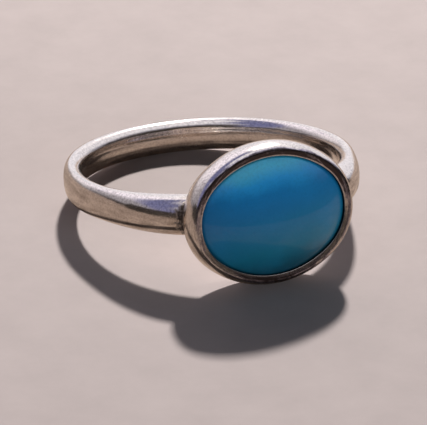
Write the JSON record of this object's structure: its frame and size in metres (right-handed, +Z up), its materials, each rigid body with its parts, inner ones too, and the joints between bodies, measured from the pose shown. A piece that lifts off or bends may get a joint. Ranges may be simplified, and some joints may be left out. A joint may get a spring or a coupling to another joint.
{
  "type": "turquoise ring",
  "caption": "Finger ring in polished silver: a half-round band with swelling shoulders soldered to an oval bezel that holds a smooth domed turquoise cabochon, lying on its side.",
  "frame": {"origin": "on the surface that the ring lies on, under the middle of its length and width", "axes": "+Z up from the surface, the stone faces -Y and slightly up, +X runs along the long side of the oval bezel"},
  "size_m": [0.0198, 0.0222, 0.0095],
  "materials": {
    "silver": "polished sterling silver with fine wear scratches and dark tarnish in the solder seams",
    "turquoise": "smooth opaque stone with a soft waxy polish and no veins"
  },
  "bodies": {
    "root": {"silver_ring": "silver", "turquoise_stone": "turquoise"}
  },
  "joints": []
}
